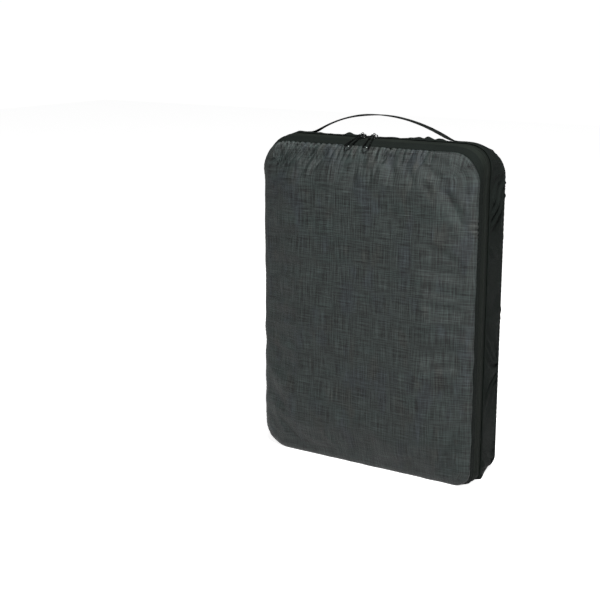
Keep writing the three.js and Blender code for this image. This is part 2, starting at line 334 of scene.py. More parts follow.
def slub_cloth():
    """Dark slate melange: uneven threads both ways, with faint blue, teal and brown yarns."""
    m = Material("slub_cloth", Specular_IOR_Level=0.2)
    place = m.weave()
    warp = m.noise(place, (900, 38, 1), 3.0)
    weft = m.noise(place, (42, 950, 1), 3.0, (7.3, 2.1, 0))
    slub_warp = m.ramp(m.noise(place, (700, 70, 1), 1.0, (3.7, 9.2, 0)), 0.57, 0.75)
    slub_weft = m.ramp(m.noise(place, (70, 700, 1), 1.0, (5.9, 4.4, 0)), 0.57, 0.75)
    dark_warp = m.ramp(m.noise(place, (800, 60, 1), 1.0, (8.1, 0.6, 0)), 0.60, 0.78)
    dark_weft = m.ramp(m.noise(place, (60, 800, 1), 1.0, (1.9, 6.7, 0)), 0.60, 0.78)
    patch = m.noise(place, (22, 22, 1), 1.0, (2.2, 7.7, 0))
    level = m.total(
        1.0,
        m.swing(warp, 2.2),
        m.swing(weft, 2.0),
        m.times(slub_warp, 0.50),
        m.times(slub_weft, 0.55),
        m.times(dark_warp, -0.36),
        m.times(dark_weft, -0.32),
        m.swing(patch, 0.08),
    )
    slate, teal = (0.0138, 0.0176, 0.0167, 1), (0.0130, 0.0178, 0.0168, 1)
    blue, brown = (0.0136, 0.0171, 0.0184, 1), (0.0152, 0.0174, 0.0160, 1)
    tint = m.mix(m.ramp(m.noise(place, (14, 40, 1), 2.0, (4, 1, 0)), 0.50, 0.66), slate, teal)
    tint = m.mix(m.ramp(m.noise(place, (45, 20, 1), 2.0, (9, 3, 0)), 0.52, 0.68), tint, blue)
    tint = m.mix(m.ramp(m.noise(place, (60, 26, 1), 2.0, (6, 8, 0)), 0.55, 0.70), tint, brown)
    m.colour(m.scaled_colour(tint, level))
    m.roughness(m.total(0.52, m.swing(patch, 0.08), m.times(slub_warp, -0.06)))
    threads = m.times(m.ribs(place, 0, 0.5 * MM), m.ribs(place, 1, 0.5 * MM))
    m.bump(m.total(m.times(threads, 0.35), warp, weft, m.times(slub_weft, 0.6)), 0.16 * MM)
    return m.material


def plain_cloth(name, colour, shade=0.14):
    """Fine plain-woven cloth of one dark colour, a little uneven."""
    m = Material(name, Specular_IOR_Level=0.04)
    place = m.weave()
    warp = m.noise(place, (1500, 90, 1), 2.0)
    weft = m.noise(place, (90, 1500, 1), 2.0, (3, 5, 0))
    patch = m.noise(place, (35, 25, 1), 2.0, (1, 2, 0))
    level = m.total(1.0, m.swing(warp, shade), m.swing(weft, shade), m.swing(patch, 0.2))
    m.colour(m.scaled_colour(colour, level))
    m.roughness(m.total(0.72, m.swing(patch, 0.12)))
    threads = m.times(m.ribs(place, 0, 0.45 * MM), m.ribs(place, 1, 0.45 * MM))
    m.bump(m.total(threads, m.times(warp, 0.8), m.times(weft, 0.8)), 0.12 * MM)
    return m.material


def ribbed_tape(name, colour, pitch, cross_pitch):
    """Woven tape with ribs along its length and fine picks across, with painted shade darkening the grooves
    between the ribs.
    """
    m = Material(name, Specular_IOR_Level=0.06)
    place = m.weave()
    rib_and_painted_shade = m.ribs(place, 0, pitch)
    picks = m.ribs(place, 1, cross_pitch)
    wear = m.noise(place, (120, 30, 1), 2.0)
    # Painted shade: the colour is lighter on the rib crests and darker in the grooves, in step with the ribs'
    # bump; the wear noise adds random tone.
    m.colour(m.scaled_colour(colour, m.total(1.0, m.times(rib_and_painted_shade, 0.16), m.swing(wear, 0.25))))
    m.roughness(m.total(0.66, m.swing(wear, 0.15)))
    m.bump(m.total(rib_and_painted_shade, m.times(picks, 0.45), m.times(wear, 0.4)), 0.16 * MM)
    return m.material


def nylon():
    """Glossy black filament of the zip coil."""
    m = Material("nylon", Specular_IOR_Level=0.5)
    haze = m.noise(m.object_place(), (600, 600, 600), 2.0)
    m.colour(m.scaled_colour((0.012, 0.014, 0.013, 1), m.total(1.0, m.swing(haze, 0.4))))
    m.roughness(m.total(0.34, m.swing(haze, 0.2)))
    m.bump(haze, 0.03 * MM)
    return m.material


def black_metal():
    """Dark gunmetal coating, worn a little lighter, with fine tumbling marks."""
    m = Material("black_metal", Metallic=1.0, Coat_Weight=0.25, Coat_Roughness=0.12)
    place = m.object_place()
    cloud = m.noise(place, (350, 350, 350), 3.0)
    marks = m.noise(place, (2500, 2500, 2500), 2.0, (4, 4, 4))
    worn = m.ramp(cloud, 0.52, 0.75)
    m.colour(m.mix(worn, (0.045, 0.050, 0.048, 1), (0.13, 0.14, 0.135, 1)))
    m.roughness(m.total(0.24, m.swing(cloud, 0.16), m.swing(marks, 0.08)))
    m.bump(m.total(cloud, m.times(marks, 0.4)), 0.03 * MM)
    return m.material


SHELL = slub_cloth()
TRIM = plain_cloth("trim_cloth", (0.0076, 0.0097, 0.0086, 1))
LINING = plain_cloth("lining_cloth", (0.0100, 0.0115, 0.0115, 1), 0.08)
TAPE_CLOTH = ribbed_tape("tape_cloth", (0.0095, 0.0120, 0.0100, 1), 1.1 * MM, 0.5 * MM)
WEBBING = ribbed_tape("webbing_cloth", (0.0060, 0.0072, 0.0065, 1), 1.3 * MM, 0.8 * MM)
THREAD = plain_cloth("thread", (0.0110, 0.0130, 0.0115, 1), 0.1)
NYLON = nylon()
METAL = black_metal()


# ---------------------------------------------------------------- the seam outline
def arc_points(centre, radius, start, stop, count):
    angle = np.radians(np.linspace(start, stop, count))
    normal = np.stack([np.cos(angle), np.sin(angle)], axis=1)
    return np.array(centre) + radius * normal, normal


def line_points(start, stop, normal, count):
    t = np.linspace(0, 1, count)[:, None]
    return np.array(start) * (1 - t) + np.array(stop) * t, np.tile(np.array(normal, float), (count, 1))


def outline(step, closed=False):
    """Places (x, z), outward normals and arc length along the seam outline, from the zip's left end on the base,
    up the left side, over the top and down to its right end. closed adds the base between them."""

    def n(length):
        return max(3, int(round(length / step)))

    arc, left_arc, right_arc = (n(math.pi * r / 2) for r in (CORNER, LEFT_FOOT, RIGHT_FOOT))
    left_x, right_x, upper = LEFT_FOOT - HALF, HALF - RIGHT_FOOT, TOP - CORNER
    parts = [
        line_points((-BAND_END, 0), (left_x, 0), (0, -1), n(-left_x - BAND_END)),
        arc_points((left_x, LEFT_FOOT), LEFT_FOOT, 270, 180, left_arc),
        line_points((-HALF, LEFT_FOOT), (-HALF, upper), (-1, 0), n(upper - LEFT_FOOT)),
        arc_points((-CORE_X, upper), CORNER, 180, 90, arc),
        line_points((-CORE_X, TOP), (CORE_X, TOP), (0, 1), n(2 * CORE_X)),
        arc_points((CORE_X, upper), CORNER, 90, 0, arc),
        line_points((HALF, upper), (HALF, RIGHT_FOOT), (1, 0), n(upper - RIGHT_FOOT)),
        arc_points((right_x, RIGHT_FOOT), RIGHT_FOOT, 0, -90, right_arc),
        line_points((right_x, 0), (BAND_END, 0), (0, -1), n(right_x - BAND_END)),
    ]
    if closed:
        parts.append(line_points((BAND_END, 0), (-BAND_END, 0), (0, -1), n(2 * BAND_END)))
    place = np.concatenate([p[:-1] for p, _ in parts] + ([] if closed else [parts[-1][0][-1:]]))
    normal = np.concatenate([q[:-1] for _, q in parts] + ([] if closed else [parts[-1][1][-1:]]))
    hops = np.linalg.norm(np.diff(place, axis=0), axis=1)
    return place, normal, np.concatenate([[0], np.cumsum(hops)])


def along_outline(run, step):
    """Places and normals at distances run along the outline."""
    place, normal, s = outline(step)
    return (np.stack([np.interp(run, s, values[:, k]) for k in (0, 1)], axis=1) for values in (place, normal))


def swell(y):
    """How much of the ridge a depth y gets: none at the seams, all of it at the zip."""
    front = (ZIP_Y - y) / (ZIP_Y + SEAM_Y)
    rear = (y - ZIP_Y) / (SEAM_Y - ZIP_Y)
    return np.cos(math.pi / 2 * np.clip(np.where(y < ZIP_Y, front, rear), 0, 1))


def band_point(place, normal, y, out):
    """Points on the gusset: outline places moved out by the ridge's swell and by out."""
    sideways, up = normal[..., 0], normal[..., 1]
    corner = 2 * np.abs(sideways) * up  # 1 in the middle of an upper corner, -1 in a lower one
    full_corner = np.where(sideways > 0, FULL_RIGHT_CORNER, 0) * np.clip(corner, 0, 1) ** 2
    full_foot = np.where(sideways > 0, FULL_RIGHT_FOOT, FULL_LEFT_FOOT) * np.clip(-corner, 0, 1) ** 2.5
    reach = (RIDGE * ((1 + up) / 2) ** 3 + full_corner + full_foot) * swell(y) + out
    x = place[..., 0] + normal[..., 0] * reach
    z = place[..., 1] + normal[..., 1] * reach
    return np.stack([x, np.broadcast_to(y, x.shape), z], axis=-1)


def rounded_edge(distance, radius):
    """How far cloth drops at a distance from an edge that turns in with that radius."""
    t = 1 - np.clip(distance / radius, 0, 1)
    return radius * (1 - np.sqrt(np.maximum(1 - t * t, 0)))


def rows_between(start, stop, edge_gaps, step):
    """Places from start to stop: close together near both ends, about a step apart between."""
    near = np.array([0.0, *edge_gaps])
    count = int(round((stop - start - 2 * near[-1]) / step)) + 1
    middle = np.linspace(start + near[-1], stop - near[-1], max(2, count))
    return np.concatenate([start + near[:-1], middle, stop - near[:-1][::-1]])


def band_sheet(name, rows, inset, thickness, relief, materials, step):
    """A strip of cloth round the case at depths rows. relief(s, y) lifts it outwards."""
    place, normal, s = outline(step)
    grid_s, grid_y = np.meshgrid(s, rows, indexing="ij")
    lift = relief(grid_s, grid_y) - inset
    outer = band_point(place[:, None], normal[:, None], grid_y, lift)
    inner = band_point(place[:, None], normal[:, None], grid_y, lift - thickness)
    outer[..., 2] = np.maximum(outer[..., 2], 0)
    inner[..., 2] = np.maximum(inner[..., 2], 0.2 * MM)
    weave = np.stack([grid_y, grid_s, np.zeros_like(grid_s)], axis=-1).reshape(-1, 3)
    return turned_out(shell(name, outer, inner, materials, weave))


# ---------------------------------------------------------------- front and back panels
PANEL_THICK = 1.3 * MM
RIM = [(0.25 * MM, 0.55 * MM), (0.75 * MM, 0.95 * MM), (SEAM_TUCK, 1.15 * MM)]  # inset and setback of each ring
LINING_INSET, LINING_SETBACK = 2.2 * MM, 1.9 * MM  # the same for the lining's edge
ROW_STEP = 1.5 * MM  # between a panel's rows of points
PRESSURE, SLACK, MOST_BULGE = 3.0, 0.018, 7 * MM  # what the cloth simulation gives the loose panels
FRAMES = 24  # length of the cloth simulation
EDGE_GAPS = [0.12 * MM, 0.4 * MM, 0.85 * MM, 1.5 * MM, 2.4 * MM, 3.6 * MM]


class Panel:
    """A grid over the seam outline, with its distance in from the seam and its crowned depth."""

    def __init__(self, xs, zs):
        self.x, self.z = np.meshgrid(xs, zs, indexing="ij")  # z is measured from the middle of the height
        wide, tall = np.abs(self.x), np.abs(self.z)
        foot = np.where(self.x < 0, LEFT_FOOT, RIGHT_FOOT)
        corner = np.where(self.z < 0, foot, CORNER)
        dx = np.maximum(wide - HALF + corner, 0)
        dz = np.maximum(tall - TOP / 2 + corner, 0)
        turned = (dx > 0) & (dz > 0)
        cut = np.where(turned, np.maximum(dx, dz) / np.maximum(np.hypot(dx, dz), 1e-12), 1)
        self.px = np.sign(self.x) * (wide - dx + dx * cut)
        self.pz = np.sign(self.z) * (tall - dz + dz * cut) + TOP / 2
        self.inside = np.maximum(np.minimum(HALF - wide, TOP / 2 - tall), 0)
        self.below = TOP / 2 - self.z  # distance down from the top seam
        self.crown = self.crown_at(self.inside)
        # Distance round the seam from the middle of the top, to the nearest seam.
        up, quarter = HALF - CORNER, CORNER * math.pi / 2
        angle = np.arctan2(dz, dx)
        beside = HALF - wide < TOP / 2 - tall
        side_run = up + quarter + (TOP / 2 - CORNER - self.z)
        top_run = np.where(turned, up + CORNER * (math.pi / 2 - angle), wide)
        to_foot = up + quarter + TOP - CORNER - foot
        base_run = np.where(turned, to_foot + foot * angle, to_foot + foot * math.pi / 2 + HALF - foot - wide)
        run = np.where(self.z > 0, top_run, base_run)
        self.run = np.sign(self.x) * np.where(beside & ~turned, side_run, run)

    @staticmethod
    def crown_at(inside):
        t = 1 - np.minimum(inside / CROWN_ROLL, 1)
        return CROWN * np.sqrt(np.maximum(1 - t * t, 0))

    def points(self, facing, seam):
        return np.stack([self.px, facing * (seam + self.crown), self.pz], axis=-1)


def softened(height, weight, rounds):
    """Averages a grid of heights with its neighbours, where weight is 1."""
    for _ in range(rounds):
        padded = np.pad(height, 1, mode="edge")
        mean = (padded[:-2, 1:-1] + padded[2:, 1:-1] + padded[1:-1, :-2] + padded[1:-1, 2:]) / 4
        height = height + (mean - height) * weight
    return height


def blown(points, pressure, slack, most, seed):
    """Cloth simulation of a panel held by its rim: how far each point moves, at most most."""
    nu, nv = points.shape[:2]
    uneven = ripple(points[..., 0], points[..., 2], 60 * MM, seed)[..., None] * 0.3 * MM
    start = points + surface_normals(points) * uneven
    obj = add_mesh("simulated", start, grid_faces(nu, nv).tolist(), [])
    rim = obj.vertex_groups.new(name="rim")
    index = np.arange(nu * nv).reshape(nu, nv)
    strips = (index[:2], index[-2:], index[:, :2], index[:, -2:])
    rim.add(np.unique(np.concatenate([strip.ravel() for strip in strips])).tolist(), 1.0, "REPLACE")
    cloth = obj.modifiers.new("cloth", "CLOTH")
    settings = cloth.settings
    settings.vertex_group_mass = "rim"
    settings.quality = 6
    settings.mass = 0.2
    settings.tension_stiffness = settings.compression_stiffness = 25
    settings.shear_stiffness = 8
    settings.bending_stiffness = 0.6
    settings.shrink_min = -slack
    settings.use_pressure = True
    settings.uniform_pressure_force = pressure
    settings.effector_weights.gravity = 0
    scene = bpy.context.scene
    scene.frame_start, scene.frame_end = 1, FRAMES
    cloth.point_cache.frame_start, cloth.point_cache.frame_end = 1, FRAMES
    for frame_number in range(1, FRAMES + 1):
        scene.frame_set(frame_number)
    depsgraph = bpy.context.evaluated_depsgraph_get()
    mesh = obj.evaluated_get(depsgraph).to_mesh()
    moved = np.empty(nu * nv * 3)
    mesh.vertices.foreach_get("co", moved)
    scene.frame_set(1)
    bpy.data.objects.remove(obj)
    shift = moved.reshape(nu, nv, 3) - points
    length = np.linalg.norm(shift, axis=2, keepdims=True)
    return shift * np.minimum(1, most / np.maximum(length, 1e-9))


def resampled(values, from_x, from_z, to_x, to_z):
    """Values on one grid read at another's places, straight between neighbours and then softened."""
    layers = []
    for k in range(3):
        along = np.stack([np.interp(to_x, from_x, column) for column in values[..., k].T], axis=1)
        full = np.stack([np.interp(to_z, from_z, row) for row in along])
        layers.append(softened(full, np.ones(full.shape), 3))
    return np.stack(layers, axis=2)


def panel_face(panel, facing, relief, seed, xs, zs):
    """The outer face of a panel: crowned, bulging where the simulation lets it, and wrinkled."""
    panel.crown = softened(panel.crown, smoothstep(14 * MM, 34 * MM, panel.inside), 60)
    base = panel.points(facing, SEAM_Y)
    coarse_x, coarse_z = np.linspace(-HALF, HALF, 87), np.linspace(-TOP / 2, TOP / 2, 117)
    coarse = Panel(coarse_x, coarse_z)
    shift = blown(coarse.points(facing, SEAM_Y), -PRESSURE * facing, SLACK, MOST_BULGE, seed)
    held = smoothstep(1 * MM, 24 * MM, panel.inside)[..., None]
    base = base + resampled(shift, coarse_x, coarse_z, xs, zs) * held
    normal = surface_normals(base)
    normal *= np.sign(np.sum(normal[..., 1])) * facing
    outer = base + normal * relief(panel)[..., None]
    outer[..., 2] = np.maximum(outer[..., 2], 0)
    return outer


def edge_directions(edge):
    """Outward directions (x, z) at points on a panel's edge."""
    foot = np.where(edge[:, 0] < 0, LEFT_FOOT, RIGHT_FOOT)
    core_x = HALF - np.where(edge[:, 2] < TOP / 2, foot, CORNER)
    core = np.stack([np.clip(edge[:, 0], -core_x, core_x), np.clip(edge[:, 2], foot, TOP - CORNER)], axis=1)
    return unit(edge[:, [0, 2]] - core)


def tucked(edge, out, facing, inset, setback):
    """Edge points moved in from the seam and back from the face."""
    ring = edge.copy()
    ring[:, 0] -= out[:, 0] * inset[0]
    ring[:, 2] -= out[:, 1] * inset[1]
    ring[:, 1] -= facing * setback
    return ring


def panel_cloth(name, facing, relief, seed, grain):
    """A front or back panel with a lining, turned in at its seam, and less so at the lid's fold."""
    xs = rows_between(-HALF, HALF, EDGE_GAPS, grain)
    zs = rows_between(-TOP / 2, TOP / 2, EDGE_GAPS, ROW_STEP)
    panel = Panel(xs, zs)
    outer = panel_face(panel, facing, relief, seed, xs, zs)
    nu, nv = outer.shape[:2]
    loop = rim_loop(nu, nv)
    edge = outer.reshape(-1, 3)[loop]
    out = edge_directions(edge)
    fold = (out[:, 1] < -0.999) & (facing < 0)
    inner = outer.reshape(-1, 3).copy()
    inner[:, 1] -= facing * PANEL_THICK
    lining_up = np.where(fold, 0.4 * MM, LINING_INSET)
    inner[loop] = tucked(edge, out, facing, (LINING_INSET, lining_up), np.where(fold, 1 * MM, LINING_SETBACK))
    turned_in = []
    for inset, setback in RIM:
        insets = (inset, np.where(fold, 0.1 * inset, inset))
        turned_in.append(tucked(edge, out, facing, insets, np.where(fold, 0.3 * setback, setback)))
    count, n = nu * nv, len(loop)
    loops = [loop, *[2 * count + k * n + np.arange(n) for k in range(len(RIM))], loop + count]
    faces = [grid_faces(nu, nv), grid_faces(nu, nv, count)[:, ::-1]]
    for first, second in zip(loops, loops[1:]):
        faces.append(np.stack([np.roll(first, -1), first, second, np.roll(second, -1)], axis=1))
    kinds = np.zeros(sum(len(f) for f in faces))
    kinds[len(faces[0]) : len(faces[0]) + len(faces[1])] = 1
    points = np.concatenate([outer.reshape(-1, 3), inner, *turned_in])
    flat = np.stack([panel.x, panel.z, np.zeros_like(panel.x)], axis=-1).reshape(-1, 3)
    weave = np.concatenate([flat, flat, *[flat[loop]] * len(RIM)])
    return turned_out(add_mesh(name, points, np.concatenate(faces), [SHELL, LINING], kinds, weave))


def gather(panel, x, width, height, length, lean, sharp=2.0):
    """One gather: a ridge, or a crease if height is below 0, that starts at the top seam at x and leans as it
    runs down. sharp is 2 for a rounded ridge and nearer 1 for a creased one."""
    down = np.maximum(panel.below, 0)
    across = np.abs(panel.x - x + lean * down) / (width * (1 + 0.4 * down / length))
    at_seam = 0.15 if height > 0 else 0.5
    start = at_seam + (1 - at_seam) * smoothstep(0, 5 * MM, down)
    return height * np.exp(-(across**sharp)) * start * (1 - smoothstep(0.35 * length, length, down))


def gather_row(panel, rng, places, wander, lengths, leans, ridge, crease, apart=3.2, crease_share=1.0):
    """A row of gathers below the top seam, each with a sharp crease beside it. ridge and crease are each a
    width and a range of heights. Every length is in millimetres."""
    total = 0
    for x in places:
        x += rng.uniform(-wander, wander)
        length, lean = rng.uniform(*lengths) * MM, rng.uniform(*leans)
        total = total + gather(panel, x * MM, ridge[0] * MM, rng.uniform(*ridge[1]) * MM, length, lean)
        beside, depth = (x + apart) * MM, rng.uniform(*crease[1]) * MM
        total = total + gather(panel, beside, crease[0] * MM, -depth, crease_share * length, lean, 1.5)
    return total


def seam_puckers(panel, seed, pitch, height, reach):
    """Small puckers where the stitches pull, all round the seam, uneven in strength and spacing."""
    wobble = ripple(panel.run, panel.run * 0, 24 * MM, seed) * 1.6
    strength = np.clip(0.5 + 0.5 * ripple(panel.run, panel.run * 0, 38 * MM, seed + 1), 0, 1.5)
    wave = np.cos(2 * math.pi * panel.run / pitch + wobble)
    return height * strength * wave * np.exp(-panel.inside / reach)


def soft_relief(panel, seed):
    """The loose cloth's own slow waves, quiet at the seam."""
    free = 1 - np.exp(-panel.inside / (14 * MM))
    slow = ripple(panel.x, panel.z, 95 * MM, seed) * 0.55 * MM
    medium = ripple(panel.x, panel.z, 34 * MM, seed + 1, 1.6) * 0.13 * MM
    fine = ripple(panel.x, panel.z, 13 * MM, seed + 2, 1.8) * 0.035 * MM
    return (slow + medium + fine) * free


def front_relief(panel):
    rng = np.random.default_rng(41)
    height = soft_relief(panel, 5)
    height += seam_puckers(panel, 11, 4.8 * MM, 0.13 * MM, 3.0 * MM)
    beside_right = smoothstep(-25 * MM, -5 * MM, panel.x - HALF)
    on_right = beside_right * np.exp(-(((panel.z - 100 * MM) / (42 * MM)) ** 2))
    height += seam_puckers(panel, 12, 4.4 * MM, 0.95 * MM, 4.6 * MM) * on_right
    sides = np.exp(-panel.inside / (9 * MM)) * smoothstep(0, 30 * MM, panel.below)
    height += ripple(panel.z, panel.x * 0, 30 * MM, 21) * 0.5 * MM * sides
    left = np.arange(-112, -40, 6.6)  # the deep gathers left of the sliders
    height += gather_row(
        panel, rng, left, 1.0, (26, 44), (0.44, 0.64), (2.4, (1.4, 2.4)), (1.3, (2.6, 4.0)), 3.4, 0.8
    )
    near = np.arange(-39, -10, 6.5)  # shallower ones up to the sliders
    height += gather_row(panel, rng, near, 1.5, (16, 28), (0.3, 0.55), (2.4, (0.7, 1.4)), (1.2, (1.2, 2.2)))
    right = np.arange(12, 84, 7.2)  # and right of them
    height += gather_row(panel, rng, right, 2.0, (12, 26), (0.05, 0.45), (2.5, (0.6, 1.4)), (1.2, (0.8, 2.0)))
    height += gather(panel, 28 * MM, 1.5 * MM, -3.6 * MM, 22 * MM, 0.4, 1.4)
    height += gather(panel, 32.5 * MM, 2.6 * MM, 1.8 * MM, 24 * MM, 0.4)
    near_base = np.exp(-(TOP - panel.below) / (45 * MM))
    height += ripple(panel.x, panel.z, 26 * MM, 33, 0.5) * 0.25 * MM * near_base
    return height


def back_relief(panel):
    height = soft_relief(panel, 55)
    height += seam_puckers(panel, 61, 5.0 * MM, 0.2 * MM, 3.2 * MM)
    for x in (-86, -60, -41, 22, 47, 71):
        height += gather(panel, x * MM, 2.6 * MM, 0.5 * MM, 18 * MM, 0.003 * x)
    return height


front_cloth = panel_cloth("front_cloth", -1, front_relief, 3, 0.7 * MM)
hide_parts("front_panel")
back_cloth = panel_cloth("back_cloth", 1, back_relief, 4, 1.5 * MM)
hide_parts("back_panel")

# ---------------------------------------------------------------- gusset strips
STRIP_THICK = 1.1 * MM
STRIP_GAPS = [0.12 * MM, 0.35 * MM, 0.7 * MM, 1.2 * MM]
SEAM_INNER = SEAM_Y - 1.1 * MM  # the strips' sewn edges lie this far from the middle
STITCH_INSET = 2.0 * MM  # from a strip's edge beside the zip to its row of stitches


def wrinkles(s, y, seed, height):
    """Gathers that run across a strip, bent a little along it."""
    lean = ripple(s, y * 0, 120 * MM, seed) * 0.9
    fine = ripple(s + lean * y, y, 13 * MM, seed + 1, 4.5)
    broad = ripple(s - 0.5 * lean * y, y, 34 * MM, seed + 2, 2.2)
    strength = 0.6 + 0.4 * ripple(s, y * 0, 85 * MM, seed + 3)
    return height * strength * (0.55 * np.maximum(fine, -0.6) + 0.6 * broad)


def edge_puckers(s, distance, seed, pitch, height, reach):
    phase = 2 * math.pi * s / pitch + 1.6 * ripple(s, s * 0, 45 * MM, seed)
    strength = 0.7 + 0.3 * ripple(s, s * 0, 70 * MM, seed + 1)
    return height * strength * np.cos(phase) * np.exp(-distance / reach)


def strip_edges(from_seam, from_zip):
    """Both edges of a strip turned in, and the groove that its row of stitches pulls beside the zip."""
    groove = np.exp(-(((from_zip - STITCH_INSET) / (0.45 * MM)) ** 2))
    return -rounded_edge(from_seam, 1.3 * MM) - rounded_edge(from_zip, 0.7 * MM) - 0.22 * MM * groove


def front_strip_relief(s, y):
    from_seam, from_zip = y + SEAM_INNER, STRIP_END - y
    lift = strip_edges(from_seam, from_zip) + wrinkles(s, y, 71, 0.28 * MM)
    return lift + edge_puckers(s, from_seam, 75, 4.6 * MM, 0.22 * MM, 2.2 * MM)


def rear_strip_relief(s, y):
    from_seam, from_zip = SEAM_INNER - y, y - REAR_START
    lift = strip_edges(from_seam, from_zip) + wrinkles(s, y, 81, 2.3 * MM) * smoothstep(0, 4 * MM, from_zip)
    lift = lift + edge_puckers(s, from_seam, 85, 12 * MM, 0.9 * MM, 6 * MM)
    return lift + edge_puckers(s, from_zip, 87, 9 * MM, 0.16 * MM, 4 * MM)


front_rows = rows_between(-SEAM_INNER, STRIP_END, STRIP_GAPS, 0.8 * MM)
FABRICS = [TRIM, LINING]
front_strip = band_sheet("front_strip", front_rows, 0, STRIP_THICK, front_strip_relief, FABRICS, 1.2 * MM)
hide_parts("front_gusset")
rear_rows = rows_between(REAR_START, SEAM_INNER, STRIP_GAPS, 1.4 * MM)
rear_strip = band_sheet("rear_strip", rear_rows, 0, STRIP_THICK, rear_strip_relief, FABRICS, 1.4 * MM)
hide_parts("rear_gusset")


def base_cloth():
    """The base strip, from the fold under the lid to the back seam. It lies on the ground."""
    half = BAND_END - 0.15 * MM
    xs = rows_between(-half, half, STRIP_GAPS, 1.6 * MM)
    ys = rows_between(-SEAM_Y, SEAM_INNER, STRIP_GAPS, 1.6 * MM)
    x, y = np.meshgrid(xs, ys, indexing="ij")
    lift = 0.25 * MM * (1 + ripple(x, y, 17 * MM, 91, 3.0)) * smoothstep(0, 5 * MM, y + SEAM_Y)
    turned_up = rounded_edge(SEAM_INNER - y, 1.1 * MM) + 0.5 * rounded_edge(y + SEAM_Y, 0.5 * MM)
    lift = np.maximum(lift, 0) + turned_up
    under = np.stack([x, y, lift], axis=-1)
    upper = np.stack([x, y, lift + 0.9 * MM], axis=-1)
    weave = np.stack([y, x, x * 0], axis=-1).reshape(-1, 3)
    return turned_out(shell("base_strip", under, upper, FABRICS, weave))


base_strip = base_cloth()
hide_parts("base_gusset")

# ---------------------------------------------------------------- zip tapes and coil
RIB = 1.1 * MM


def tape_relief(toward_zip):
    def relief(s, y):
        from_gap = toward_zip * (ZIP_Y - toward_zip * ZIP_GAP - y)
        ribs = 0.07 * MM * np.cos(2 * math.pi * from_gap / RIB) * smoothstep(1.0 * MM, 1.6 * MM, from_gap)
        over_coil = 0.35 * MM * (1 - smoothstep(1.2 * MM, 3.4 * MM, from_gap))
        stitched = -0.18 * MM * np.exp(-(((from_gap - 2.9 * MM) / (0.35 * MM)) ** 2))
        waves = 0.10 * MM * ripple(s, y, 40 * MM, 95, 1.5)
        return ribs + over_coil + stitched + waves - rounded_edge(from_gap, 0.6 * MM)

    return relief


def tape(name, toward_zip, far):
    near = ZIP_Y - toward_zip * ZIP_GAP
    count = int(round(abs(far - near) / (0.22 * MM)))
    rows = np.linspace(min(near, far), max(near, far), count)
    return band_sheet(name, rows, LAYER_TWO, 0.7 * MM, tape_relief(toward_zip), [TAPE_CLOTH], 2.0 * MM)


front_tape = tape("front_tape", 1, tape_low.y)
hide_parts("front_zip_tape")
rear_tape = tape("rear_tape", -1, rear_tape_high.y)
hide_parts("rear_zip_tape")


def coil(name, side, phase):
    """One side of the nylon coil, a flattened spiral sewn under its tape."""
    pitch, steps, sides = 1.7 * MM, 8, 5
    turns = int((outline(1.5 * MM)[2][-1] - 8 * MM) / pitch)
    theta = np.arange(turns * steps) * 2 * math.pi / steps + phase
    run = 4 * MM + np.arange(turns * steps) * pitch / steps
    at, out = along_outline(run, 1.5 * MM)
    y = ZIP_Y + side * (1.55 * MM + 1.25 * MM * np.cos(theta))
    depth = 3.85 * MM + 0.72 * MM * np.sin(theta)
    path = band_point(at, out, y, -depth)
    path[:, 2] = np.maximum(path[:, 2], 2.2 * MM)
    along = np.stack([out[:, 1], np.zeros(len(out)), -out[:, 0]], axis=1)
    return tube(name, path, (0.3 * MM, 0.3 * MM), NYLON, sides, closed=False, flat_axis=along)


front_coil = coil("front_coil", -1, 0.0)
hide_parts("front_zip_coil")
rear_coil = coil("rear_coil", 1, math.pi)
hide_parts("rear_zip_coil")


# ---------------------------------------------------------------- bound seam allowances inside
def binding(name, node):
    low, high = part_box(node)
    y = (low.y + high.y) / 2
    place, normal, _ = outline(3 * MM, closed=True)
    run = np.arange(len(place)) * 3 * MM
    wave = 0.18 * MM * ripple(run, run * 0, 26 * MM, 101)
    path = band_point(place, normal, np.full(len(place), y), wave - 2.85 * MM)
    obj = tube(name, path, (1.0 * MM, 0.95 * MM), TRIM, 12)
    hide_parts(node)
    return obj


front_binding = binding("front_binding", "front_seam_binding")
back_binding = binding("back_binding", "back_seam_binding")


def squared(wave, power):
    """A sine or cosine pushed towards -1 and 1, which makes a ring more like a rectangle."""
    return np.sign(wave) * np.abs(wave) ** power


def small_cloth(name, node):
    """A short strip of bound or folded cloth: a soft-edged bar, a little uneven."""
    low, high = (np.array(p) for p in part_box(node))
    half, middle = (high - low) / 2, (high + low) / 2
    u = circle(40)
    longest = int(np.argmax(half[:2]))
    across = 1 - longest
    run = np.linspace(-1, 1, 41)
    end = np.clip((1 - np.abs(run)) * half[longest] / (1 * MM), 0, 1)
    size = (np.sqrt(1 - (1 - end) ** 2) * 0.9 + 0.1)[:, None]
    cos, sin = squared(np.cos(u), 0.5), squared(np.sin(u), 0.5)
    points = np.zeros((len(run), len(u), 3))
    points[..., longest] = middle[longest] + run[:, None] * half[longest]
    points[..., across] = middle[across] + half[across] * cos * (0.4 + 0.6 * size)
    points[..., 2] = middle[2] + half[2] * sin * size
    points[..., 2] += 0.06 * MM * ripple(points[..., 0], points[..., 1], 6 * MM, 111)
    faces = capped_faces(len(run), len(u))
    weave = np.stack([points[..., across], points[..., longest], points[..., 2]], axis=-1).reshape(-1, 3)
    obj = turned_out(add_mesh(name, points, faces, [TRIM], weave=weave))
    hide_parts(node)
    return obj


base_binding_left = small_cloth("base_binding_left", "base_seam_binding_left")
base_binding_right = small_cloth("base_binding_right", "base_seam_binding_right")
end_tab_left = small_cloth("end_tab_left", "zip_end_tab_left")
end_tab_right = small_cloth("end_tab_right", "zip_end_tab_right")


